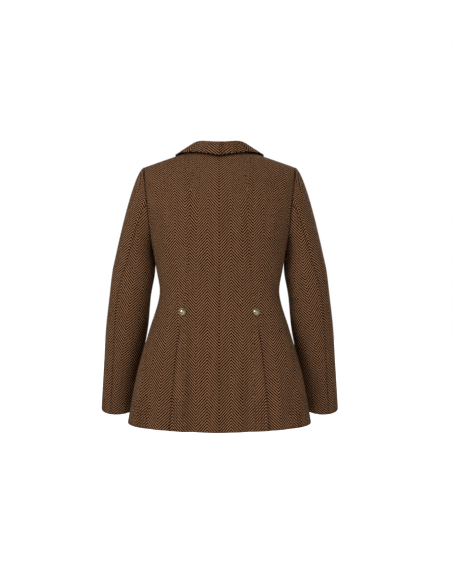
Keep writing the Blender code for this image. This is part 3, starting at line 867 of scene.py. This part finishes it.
def on_rim(first, second, rows, columns):
    """True for an edge that runs along the outline of the outer or the inner face."""
    along_row = first[0] == second[0] and first[0] in (0, rows)
    along_column = first[1] == second[1] and first[1] in (0, columns)
    return first[2] == second[2] and (along_row or along_column)


def add(name, form, material):
    mesh = bpy.data.meshes.new(name)
    form.to_mesh(mesh)
    form.free()
    mesh.materials.append(material)
    mesh.shade_smooth()
    piece = bpy.data.objects.new(name, mesh)
    bpy.context.scene.collection.objects.link(piece)
    return piece


MIX_INPUTS = (0, 6, 7)      # the mix node's sockets for a factor and two colours
MIX_RESULT = 2              # and for the mixed colour


def node(tree, kind, **settings):
    made = tree.nodes.new(kind)
    for name, value in settings.items():
        setattr(made, name, value)
    return made


def feed(tree, sockets, values):
    """Links outputs to sockets, and sets the sockets that get plain values."""
    for socket, value in zip(sockets, values):
        if isinstance(value, bpy.types.NodeSocket):
            tree.links.new(value, socket)
        else:
            socket.default_value = value


def maths(tree, operation, first, second=0.0):
    made = node(tree, "ShaderNodeMath", operation=operation)
    feed(tree, made.inputs, (first, second))
    return made.outputs[0]


def ranged(tree, value, least, added):
    """Spreads a value from 0 to 1 over a range: its least value, and what is added at most."""
    return maths(tree, "ADD", maths(tree, "MULTIPLY", value, added), least)


def mixed(tree, factor, first, last):
    made = node(tree, "ShaderNodeMix", data_type="RGBA")
    feed(tree, [made.inputs[index] for index in MIX_INPUTS], (factor, first, last))
    return made.outputs[MIX_RESULT]


def set_values(target, values):
    for name, value in values.items():
        target.inputs[name].default_value = value


def stretched(tree, vector, across, upward):
    made = node(tree, "ShaderNodeVectorMath", operation="MULTIPLY")
    tree.links.new(vector, made.inputs[0])
    made.inputs[1].default_value = (across, upward, 1.0)
    return made.outputs["Vector"]


def noise(tree, vector, scale, detail=2.0):
    made = node(tree, "ShaderNodeTexNoise")
    set_values(made, {"Scale": scale, "Detail": detail})
    tree.links.new(vector, made.inputs["Vector"])
    return made.outputs["Fac"]


def bump(tree, shader, height, strength, distance):
    made = node(tree, "ShaderNodeBump")
    set_values(made, {"Strength": strength, "Distance": distance})
    tree.links.new(height, made.inputs["Height"])
    tree.links.new(made.outputs["Normal"], shader.inputs["Normal"])


def new_material(name, values):
    """A material with some plain values, its node tree and its shader."""
    material = bpy.data.materials.new(name)
    material.use_nodes = True
    shader = material.node_tree.nodes["Principled BSDF"]
    set_values(shader, values)
    return material, material.node_tree, shader


def herringbone_group():
    """Which thread lies on top, how high it stands, and how each thread differs from the next."""
    group = bpy.data.node_groups.new("herringbone", "ShaderNodeTree")
    group.interface.new_socket("Weave", in_out="INPUT", socket_type="NodeSocketVector")
    for name in ("Warp", "Height", "Thread"):
        group.interface.new_socket(name, in_out="OUTPUT", socket_type="NodeSocketFloat")
    start, end = group.nodes.new("NodeGroupInput"), group.nodes.new("NodeGroupOutput")
    split = group.nodes.new("ShaderNodeSeparateXYZ")
    group.links.new(start.outputs["Weave"], split.inputs[0])
    work = partial(maths, group)
    wobble = noise(group, start.outputs["Weave"], WANDER_SCALE)
    wander = work("MULTIPLY", work("SUBTRACT", wobble, 0.5), WANDER)
    warp_place = work("ADD", work("DIVIDE", split.outputs[0], END), wander)
    weft_place = work("ADD", work("DIVIDE", split.outputs[1], PICK), wander)
    warp_number, weft_number = work("FLOOR", warp_place), work("FLOOR", weft_place)
    climb = work("PINGPONG", warp_number, STRIPE_ENDS)
    phase = work("FLOORED_MODULO", work("SUBTRACT", weft_number, climb), TWILL)
    warp_up = work("LESS_THAN", phase, WARP_OVER)
    weft_up = work("SUBTRACT", 1.0, warp_up)
    warp_round = ranged(group, rounded(group, work("FRACT", warp_place)), *WARP_SIDES)
    weft_share = work("FRACT", weft_place)
    float_share = work("MULTIPLY", work("ADD", phase, weft_share), 0.5)
    bulge = ranged(group, rounded(group, float_share), *FLOAT_ENDS)
    warp_height = work("MULTIPLY", work("MULTIPLY", warp_round, bulge), warp_up)
    weft_height = work("MULTIPLY", work("MULTIPLY", rounded(group, weft_share), WEFT_HEIGHT), weft_up)
    number = work("ADD", work("MULTIPLY", warp_number, warp_up), work("MULTIPLY", weft_number, weft_up))
    tint = node(group, "ShaderNodeTexWhiteNoise", noise_dimensions="1D")
    group.links.new(number, tint.inputs["W"])
    group.links.new(warp_up, end.inputs["Warp"])
    group.links.new(work("ADD", warp_height, weft_height), end.inputs["Height"])
    group.links.new(tint.outputs["Value"], end.inputs["Thread"])
    return group


def rounded(tree, share):
    """A round thread: 1 along its middle and 0 at its sides."""
    side = maths(tree, "SUBTRACT", maths(tree, "MULTIPLY", share, 2.0), 1.0)
    return maths(tree, "SUBTRACT", 1.0, maths(tree, "MULTIPLY", side, side))


# Finishes; ranges are a least value and what a noise adds to it, bumps a strength and a distance
WARP_LIGHT = (0.900, 0.502, 0.268, 1.0)
WARP_DEEP = (0.660, 0.352, 0.173, 1.0)
WEFT_LIGHT = (0.020, 0.0046, 0.0003, 1.0)
WEFT_DEEP = (0.010, 0.0023, 0.0002, 1.0)
WARP_SHADE_SHARPNESS = 5.0            # how sharply a warp float's colour sinks into painted shade between its neighbours
# colour of the painted shade beside edges and seams, under the collar, along the vents and round the
# armholes
SEAM_AND_SHADE_COLOUR = (0.012, 0.0045, 0.0016, 1.0)
FIBRE_SCALE = 1900.0
FIBRE_DETAIL = 3.0
FIBRE_HEIGHT = 0.5          # beside a thread's height of 1
CLOUD_SCALE = 70.0
CLOUD_STRETCH = 0.2
CLOUD_RANGE = (0.85, 0.30)
TWEED_ROUGHNESS = (0.84, 0.12)
TWEED_BUMP = (0.5, 0.0006)
TWEED_VALUES = {
    "Specular IOR Level": 0.03,
    "Sheen Weight": 0.02,
    "Sheen Roughness": 0.45,
    "Sheen Tint": (0.85, 0.62, 0.45, 1.0),
}
BRASS_BRIGHT = (0.54, 0.455, 0.275, 1.0)
BRASS_DULL = (0.110, 0.084, 0.040, 1.0)
# painted shade at a button's rim, where it meets the cloth
BRASS_RIM_SHADE = (0.020, 0.014, 0.006, 1.0)
PATINA_SCALE = 320.0
PATINA_DETAIL = 4.0
DENT_SCALE = 900.0
BRASS_ROUGHNESS = (0.16, 0.25)
BRASS_BUMP = (0.25, 0.0004)
THREAD_LIGHT = (0.105, 0.050, 0.022, 1.0)
THREAD_DEEP = (0.030, 0.013, 0.005, 1.0)
TWIST_SCALE = 1400.0
THREAD_ROUGHNESS = (0.6, 0.2)
THREAD_SHINE = 0.2


def tweed_material(group):
    material, tree, shader = new_material("brown_tweed", TWEED_VALUES)
    weave = node(tree, "ShaderNodeUVMap", uv_map=WEAVE_MAP).outputs["UV"]
    cloth = node(tree, "ShaderNodeGroup", node_tree=group)
    tree.links.new(weave, cloth.inputs["Weave"])
    fibre = noise(tree, weave, FIBRE_SCALE, FIBRE_DETAIL)
    cloud = noise(tree, stretched(tree, weave, 1.0, CLOUD_STRETCH), CLOUD_SCALE, FIBRE_DETAIL)
    blend = maths(tree, "ADD", maths(tree, "MULTIPLY", cloth.outputs["Thread"], 0.5),
                  maths(tree, "MULTIPLY", fibre, 0.5))
    warp = mixed(tree, blend, WARP_DEEP, WARP_LIGHT)
    weft = mixed(tree, blend, WEFT_DEEP, WEFT_LIGHT)
    # The weave's two colours, with painted shade where a warp float dips at its sides and ends
    raised = maths(tree, "POWER", cloth.outputs["Height"], WARP_SHADE_SHARPNESS)
    colour = mixed(tree, maths(tree, "MULTIPLY", raised, cloth.outputs["Warp"]), weft, warp)
    clouded = node(tree, "ShaderNodeVectorMath", operation="SCALE")
    tree.links.new(colour, clouded.inputs[0])
    tree.links.new(ranged(tree, cloud, *CLOUD_RANGE), clouded.inputs["Scale"])
    # Painted shade: darker beside edges and seams, under the collar, along the vents and round the
    # armholes
    seam = node(tree, "ShaderNodeAttribute", attribute_name=SEAM_AND_SHADE_NAME)
    shaded = mixed(tree, seam.outputs["Fac"], clouded.outputs["Vector"], SEAM_AND_SHADE_COLOUR)
    tree.links.new(shaded, shader.inputs["Base Color"])
    tree.links.new(ranged(tree, fibre, *TWEED_ROUGHNESS), shader.inputs["Roughness"])
    fluff = maths(tree, "MULTIPLY", fibre, FIBRE_HEIGHT)
    bump(tree, shader, maths(tree, "ADD", cloth.outputs["Height"], fluff), *TWEED_BUMP)
    return material


def brass_material():
    material, tree, shader = new_material("aged_brass", {"Metallic": 1.0})
    place = node(tree, "ShaderNodeTexCoord").outputs["Object"]
    patina = noise(tree, place, PATINA_SCALE, PATINA_DETAIL)
    # Painted shade: the metal darkens to near black at the button's rim
    rim_unshaded = node(tree, "ShaderNodeAttribute", attribute_name=RIM_UNSHADED_NAME)
    metal = mixed(tree, patina, BRASS_BRIGHT, BRASS_DULL)
    rim_shaded_metal = mixed(tree, rim_unshaded.outputs["Fac"], BRASS_RIM_SHADE, metal)
    tree.links.new(rim_shaded_metal, shader.inputs["Base Color"])
    tree.links.new(ranged(tree, patina, *BRASS_ROUGHNESS), shader.inputs["Roughness"])
    bump(tree, shader, noise(tree, place, DENT_SCALE), *BRASS_BUMP)
    return material


def thread_material():
    material, tree, shader = new_material("brown_thread", {"Specular IOR Level": THREAD_SHINE})
    place = node(tree, "ShaderNodeTexCoord").outputs["Object"]
    twist = noise(tree, place, TWIST_SCALE, FIBRE_DETAIL)
    tree.links.new(mixed(tree, twist, THREAD_DEEP, THREAD_LIGHT), shader.inputs["Base Color"])
    tree.links.new(ranged(tree, twist, *THREAD_ROUGHNESS), shader.inputs["Roughness"])
    return material


# Buttons: radius and height of the profile, from the middle of the dome to the shank
BUTTON_RADIUS = 0.0096
BUTTON_TOP = 0.0077
BUTTON_RIM = 0.0024
BUTTON_BACK = 0.0014
BUTTON_SHANK = 0.0036
DOME_STEPS = 14
BEAD = 0.0009
BEAD_TURN = 1.5             # half turns of the rolled rim
RIM_SHADE_WIDTH = 0.0017        # width of the painted shade at the rim
TURN_STEPS = 48
WAIST_BUTTON_GAP = 0.0008
FRONT_BUTTON_GAP = 0.0004


def button(name, x, z, face, gap, material):
    """Domed button with a rolled rim, turned from its profile."""
    form = bmesh.new()
    profile = []
    dome_edge = BUTTON_RADIUS - 2 * BEAD
    for index in range(DOME_STEPS + 1):
        angle = math.pi / 2 * index / DOME_STEPS
        height = BUTTON_RIM + (BUTTON_TOP - BUTTON_RIM) * math.cos(angle)
        profile.append((dome_edge * math.sin(angle), height))
    for index in range(1, DOME_STEPS + 1):
        angle = math.pi * (1 - BEAD_TURN * index / DOME_STEPS)
        radius = BUTTON_RADIUS - BEAD + BEAD * math.cos(angle)
        profile.append((radius, BUTTON_RIM + BEAD * math.sin(angle)))
    profile += [(BUTTON_SHANK, BUTTON_BACK), (BUTTON_SHANK, 0.0), (0.0, 0.0)]
    corners = [form.verts.new((radius, 0.0, height)) for radius, height in profile]
    outline = [form.edges.new(pair) for pair in zip(corners, corners[1:])]
    bmesh.ops.spin(form, geom=corners + outline, cent=(0, 0, 0), axis=(0, 0, 1), dvec=(0, 0, 0),
                   angle=2 * math.pi, steps=TURN_STEPS, use_merge=True, use_duplicate=False)
    bmesh.ops.remove_doubles(form, verts=form.verts, dist=FINE)
    bmesh.ops.recalc_face_normals(form, faces=form.faces)
    # Share of each point that lies clear of the painted shade at the rim
    rim_unshaded = form.verts.layers.float.new(RIM_UNSHADED_NAME)
    for vertex in form.verts:
        vertex[rim_unshaded] = smooth((BUTTON_RADIUS - vertex.co.xy.length) / RIM_SHADE_WIDTH)
    place, normal = on_body(np.array(x), np.array(z), face, np.array(gap))
    turn = Vector(normal).to_track_quat("Z", "Y").to_matrix()
    bmesh.ops.rotate(form, verts=form.verts, cent=(0, 0, 0), matrix=turn)
    bmesh.ops.translate(form, verts=form.verts, vec=Vector(place))
    return add(name, form, material)


# Buttonholes of the right front: a worked edge of thread round a closed slit
HOLE_ENDS = (0.003, -0.019)         # x of its two ends; the button's shank passes near the first
HOLE_SPREAD = 0.0008
THREAD = 0.0009
HOLE_STEPS = 192
THREAD_STEPS = 8
STITCHES = 48
STITCH_SWELL = 0.18


def buttonhole(name, z, material):
    """A ring of close stitches, laid flat on the front."""
    form = bmesh.new()
    bmesh.ops.create_grid(form, x_segments=HOLE_STEPS, y_segments=THREAD_STEPS, size=0.5)
    cells = np.array([vertex.co[:2] for vertex in form.verts]) + 0.5
    straight = HOLE_ENDS[0] - HOLE_ENDS[1]
    bow = math.pi * HOLE_SPREAD
    way = cells[:, 0] * 2 * (straight + bow)
    back = way > straight + bow
    way = np.where(back, way - straight - bow, way)
    turn = math.pi * np.clip((way - straight) / bow, 0.0, 1.0)
    flip = np.where(back, -1.0, 1.0)
    middle = sum(HOLE_ENDS) / 2
    round_thread = 2 * math.pi * cells[:, 1]
    swell = THREAD * (1 + STITCH_SWELL * np.cos(2 * math.pi * STITCHES * cells[:, 0]))
    spread = HOLE_SPREAD + swell * np.cos(round_thread)
    x = middle + flip * (straight / 2 - np.minimum(way, straight)) - flip * spread * np.sin(turn)
    height = z + flip * spread * np.cos(turn)
    place = on_body(x, height, -1, swell * np.sin(round_thread))[0]
    for vertex, spot in zip(form.verts, place):
        vertex.co = spot
    bmesh.ops.remove_doubles(form, verts=form.verts, dist=FINE)
    bmesh.ops.recalc_face_normals(form, faces=form.faces)
    return add(name, form, material)


FRONT_EDGES = Edges(FREE, SEWN, FREE, SEWN)
TURNED_EDGES = Edges(HIDDEN, FREE, FREE, FREE)
PANELS = {
    "back_middle": Panel(middle_back, middle_back_grain, 0.095, 0.70, 0.0,
                         Edges(CENTRE_SEAM, PRESSED, FREE, SEWN), 0, (under_collar, vent_shadow)),
    "back_side": Panel(side_back, side_back_grain, 0.140, 0.70, 0.0,
                       Edges(PRESSED, SEWN, FREE, SEWN), 0, (under_collar, body_armpit)),
    "sleeve_upper": Panel(upper_sleeve, upper_sleeve_grain, 0.160, 0.64, 0.0,
                          Edges(ARM_SEAM, PRESSED, SET_IN, FREE), 1, (sleeve_armpit,)),
    "sleeve_under": Panel(under_sleeve, under_sleeve_grain, 0.130, 0.55, 0.0,
                          Edges(PRESSED, ARM_SEAM, SET_IN, FREE), 1, (sleeve_armpit,)),
    "lapel_left": Panel(left_lapel, lapel_grain, 0.090, 0.18, 0.5, TURNED_EDGES, 0, ()),
    "lapel_right": Panel(right_lapel, lapel_grain, 0.090, 0.20, 0.5, TURNED_EDGES, 0, ()),
    "front_left": Panel(left_front, front_grain, 0.210, 0.70, 0.0, FRONT_EDGES, 0, (body_armpit,)),
    "front_right": Panel(right_front, front_grain, 0.210, 0.70, 0.0, FRONT_EDGES, 0, (body_armpit,)),
    "collar": Panel(collar, collar_grain, 0.080, 0.46, 0.5, TURNED_EDGES, 0, ()),
}

# Creases of each piece of cloth, from its first edge and from its hem end.
# Those on the centre-back seam stand equally high on both sides of it.
CREASES = {
    "back_middle_left": (
        Crease(0.000, 0.050, 0, 0.62, 0.028, 0.0100, 0.0),
        Crease(0.000, 0.545, 0, 0.30, 0.024, 0.0065, 0.0),
        Crease(0.0890, 0.050, 1, 0.50, 0.014, 0.0070, 0.002),
        Crease(0.0654, 0.060, 0, 0.54, 0.014, -0.0080, -0.003),
        Crease(0.050, 0.500, -4, 0.17, 0.014, -0.0026, 0.003),
    ),
    "back_middle_right": (
        Crease(0.000, 0.050, 0, 0.62, 0.016, 0.0100, 0.0),
        Crease(0.000, 0.545, 0, 0.30, 0.013, 0.0065, 0.0),
        Crease(0.0730, 0.040, -1, 0.48, 0.015, -0.0090, 0.003),
        Crease(0.0420, 0.110, 1, 0.34, 0.013, 0.0034, 0.003),
        Crease(0.050, 0.480, 5, 0.15, 0.012, 0.0028, 0.002),
    ),
    "back_side_left": (
        Crease(0.066, 0.485, 16, 0.15, 0.010, 0.0042, 0.004),
        Crease(0.046, 0.470, 12, 0.12, 0.011, -0.0026, 0.003),
        Crease(0.072, 0.330, 78, 0.070, 0.008, -0.0034, 0.003),
        Crease(0.064, 0.060, 6, 0.30, 0.014, -0.0075, 0.004),
        Crease(0.034, 0.050, 2, 0.22, 0.012, 0.0040, 0.002),
    ),
    "back_side_right": (
        Crease(0.064, 0.495, 12, 0.13, 0.010, 0.0042, 0.003),
        Crease(0.070, 0.345, 84, 0.060, 0.008, -0.0036, -0.002),
        Crease(0.062, 0.314, 70, 0.050, 0.006, -0.0018, 0.002),
        Crease(0.070, 0.050, 8, 0.26, 0.015, -0.0072, 0.003),
        Crease(0.032, 0.070, 3, 0.30, 0.013, 0.0055, -0.003),
    ),
    "sleeve_upper_left": (
        Crease(0.016, 0.305, 62, 0.040, 0.009, -0.0026, 0.003),
        Crease(0.014, 0.258, 72, 0.036, 0.008, -0.0018, -0.002),
        Crease(0.135, 0.330, -50, 0.060, 0.011, -0.0030, 0.004),
        Crease(0.018, 0.105, 55, 0.040, 0.009, -0.0020, 0.002),
    ),
    "sleeve_upper_right": (
        Crease(0.016, 0.285, 66, 0.040, 0.009, -0.0026, -0.003),
        Crease(0.014, 0.330, 58, 0.036, 0.008, -0.0020, 0.002),
        Crease(0.138, 0.300, -55, 0.055, 0.010, -0.0034, 0.003),
        Crease(0.018, 0.080, 48, 0.040, 0.009, -0.0018, -0.002),
    ),
    "sleeve_under_left": (
        Crease(0.100, 0.322, -64, 0.036, 0.009, -0.0030, 0.003),
        Crease(0.094, 0.280, -72, 0.032, 0.008, -0.0022, -0.002),
        Crease(0.078, 0.415, 12, 0.085, 0.011, 0.0036, 0.002),
    ),
    "sleeve_under_right": (
        Crease(0.098, 0.300, -60, 0.038, 0.010, -0.0030, -0.003),
        Crease(0.100, 0.350, -74, 0.030, 0.008, -0.0020, 0.002),
        Crease(0.076, 0.420, 10, 0.090, 0.011, 0.0034, -0.002),
    ),
    "lapel_left": (
        Crease(0.030, 0.070, -12, 0.090, 0.010, 0.0012, 0.003),
    ),
    "lapel_right": (
        Crease(0.034, 0.100, -9, 0.100, 0.010, 0.0012, -0.002),
    ),
    "front_left": (
        Crease(0.080, 0.330, 62, 0.110, 0.010, -0.0040, 0.004),
        Crease(0.072, 0.262, 74, 0.085, 0.009, -0.0030, -0.003),
        Crease(0.098, 0.060, 4, 0.30, 0.015, -0.0075, 0.004),
        Crease(0.144, 0.050, 7, 0.24, 0.014, 0.0062, 0.003),
        Crease(0.118, 0.480, 24, 0.120, 0.012, -0.0038, 0.004),
    ),
    "front_right": (
        Crease(0.085, 0.345, 66, 0.100, 0.010, -0.0042, -0.004),
        Crease(0.078, 0.288, 56, 0.080, 0.008, -0.0026, 0.003),
        Crease(0.106, 0.070, 5, 0.32, 0.015, -0.0072, -0.004),
        Crease(0.152, 0.050, 9, 0.22, 0.013, 0.0064, 0.002),
        Crease(0.124, 0.470, 30, 0.110, 0.012, -0.0036, 0.003),
    ),
    "collar": (
        Crease(0.058, 0.150, 4, 0.030, 0.012, 0.0008, 0.0),
        Crease(0.056, 0.300, -6, 0.028, 0.010, 0.0009, 0.0),
    ),
}


def dress(piece, solid):
    """Puts a piece in the place of its solid."""
    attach(piece, "root")
    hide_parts(solid)


def make_cloth():
    tweed = tweed_material(herringbone_group())
    for solid, creases in CREASES.items():
        panel = PANELS.get(solid) or PANELS[solid.rpartition("_")[0]]
        side = -1 if solid.endswith("right") else 1
        piece, (width, length, area) = sew(f"tweed_{solid}", panel, side, creases, tweed)
        dress(piece, solid)


def make_buttons():
    brass = brass_material()
    seam_x = float(along(BACK_SEAM, np.array(WAIST_BUTTON_Z)).half_width)
    places = {
        "back_left": (seam_x, WAIST_BUTTON_Z, 1, WAIST_BUTTON_GAP),
        "back_right": (-seam_x, WAIST_BUTTON_Z, 1, WAIST_BUTTON_GAP),
    }
    for number, height in enumerate(FRONT_BUTTON_Z, 1):
        places[f"front_{number}"] = (0.0, height, -1, FRONT_BUTTON_GAP)
    for name, place in places.items():
        piece = button(f"brass_button_{name}", *place, brass)
        dress(piece, f"button_{name}")


def make_buttonholes():
    thread = thread_material()
    for number, height in enumerate(FRONT_BUTTON_Z, 1):
        piece = buttonhole(f"thread_buttonhole_{number}", height, thread)
        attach(piece, "root")


# Studio
IMAGE_HEIGHT = 584
PIXEL = 0.00254             # size of a photo pixel at the shoulder line
CAMERA_DISTANCE = 2.6
CAMERA_SIDE = -0.0164       # the jacket stands a little left of the picture's middle
CAMERA_HEIGHT = -0.345
CAMERA_TURN = (math.radians(90), 0.0, math.radians(180))        # level, towards the back
SENSOR = 36.0
FLOOR = -1.42
FLOOR_SIZE = 40.0
WHITE = (1.0, 1.0, 1.0, 1.0)
PAPER_VALUES = {"Base Color": (0.9, 0.9, 0.9, 1.0), "Roughness": 0.9, "Emission Color": WHITE}


def make_camera():
    lens = bpy.data.cameras.new("camera")
    lens.sensor_width = SENSOR
    lens.lens = SENSOR * CAMERA_DISTANCE / (IMAGE_HEIGHT * PIXEL)
    camera = bpy.data.objects.new("camera", lens)
    camera.location = (CAMERA_SIDE, CAMERA_DISTANCE, CAMERA_HEIGHT)
    camera.rotation_euler = CAMERA_TURN
    bpy.context.scene.collection.objects.link(camera)
    bpy.context.scene.camera = camera


# Soft boxes: where each stands, its size and its power; all aim at the jacket's middle
SoftBox = namedtuple("SoftBox", "name x y z size power")
SOFT_BOXES = (
    SoftBox("key_behind", 1.7, 2.2, 1.5, 1.1, 78.0),
    SoftBox("fill_behind", -1.6, 2.7, 0.2, 1.6, 26.5),
    SoftBox("key_before", -1.7, -2.2, 1.5, 1.1, 78.0),
    SoftBox("fill_before", 1.6, -2.7, 0.2, 1.6, 26.5),
)
AIM = Vector((0.0, 0.0, -0.34))
AMBIENT = 0.40              # light from the white room, which itself looks white


def make_room():
    scene = bpy.context.scene
    scene.view_settings.view_transform = "Standard"
    world = bpy.data.worlds.new("studio")
    scene.world = world
    world.use_nodes = True
    tree = world.node_tree
    sky = tree.nodes["Background"]
    set_values(sky, {"Color": WHITE})
    seen = node(tree, "ShaderNodeLightPath").outputs["Is Camera Ray"]
    tree.links.new(ranged(tree, seen, AMBIENT, 1.0 - AMBIENT), sky.inputs["Strength"])


def make_lights():
    for box in SOFT_BOXES:
        lamp = bpy.data.lights.new(box.name, "AREA")
        lamp.size = box.size
        lamp.energy = box.power
        light = bpy.data.objects.new(box.name, lamp)
        light.location = (box.x, box.y, box.z)
        light.rotation_euler = (AIM - light.location).to_track_quat("-Z", "Y").to_euler()
        bpy.context.scene.collection.objects.link(light)


def make_floor():
    floor_form = bmesh.new()
    bmesh.ops.create_grid(floor_form, x_segments=1, y_segments=1, size=FLOOR_SIZE / 2)
    bmesh.ops.translate(floor_form, verts=floor_form.verts, vec=(0, 0, FLOOR))
    paper, tree, shader = new_material("pale_paper", PAPER_VALUES)
    seen = node(tree, "ShaderNodeLightPath").outputs["Is Camera Ray"]
    tree.links.new(seen, shader.inputs["Emission Strength"])
    add("floor", floor_form, paper)


make_camera()
make_cloth()
make_buttons()
make_buttonholes()
make_room()
make_lights()
make_floor()
